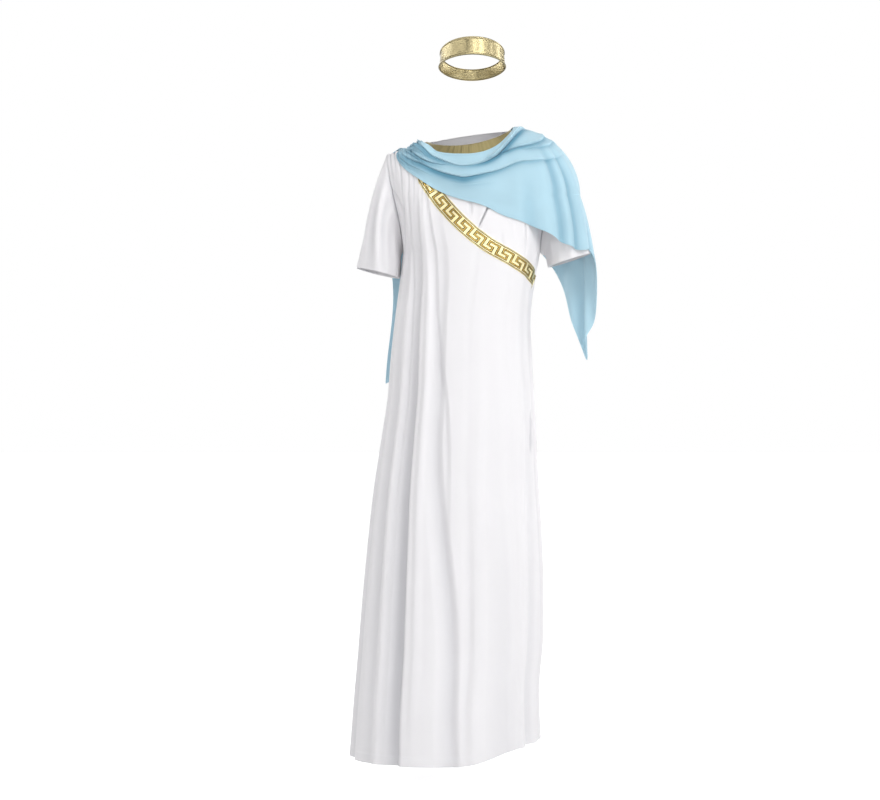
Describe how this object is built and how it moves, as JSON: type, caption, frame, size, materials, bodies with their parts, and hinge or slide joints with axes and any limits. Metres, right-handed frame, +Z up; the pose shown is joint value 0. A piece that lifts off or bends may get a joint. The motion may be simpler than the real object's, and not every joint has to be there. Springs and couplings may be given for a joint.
{
  "type": "greek priest costume",
  "caption": "Long white tunic with short sleeves, gold neck band and key trim, a blue shoulder drape and a gold headband, filled out as if worn.",
  "frame": {"origin": "middle of the neck opening at shoulder height, where the wearer's neck and shoulders hold the costume", "axes": "+Z up, the front faces -Y, +X towards the garment's left"},
  "size_m": [0.5821, 0.3907, 1.6678],
  "materials": {
    "white_cloth": "fine white polyester, soft sheen",
    "blue_cloth": "light blue polyester crepe",
    "gold_cloth": "matt gold lame",
    "gold_trim": "woven metallic gold key trim",
    "gold_foil": "glossy pale gold lame"
  },
  "bodies": {
    "root": {"tunic_front": "white_cloth", "tunic_back": "white_cloth", "sleeve_right": "white_cloth", "sleeve_left": "white_cloth", "neck_band": "gold_cloth", "key_trim": "gold_trim", "drape": "blue_cloth", "headband": "gold_foil"}
  },
  "joints": []
}
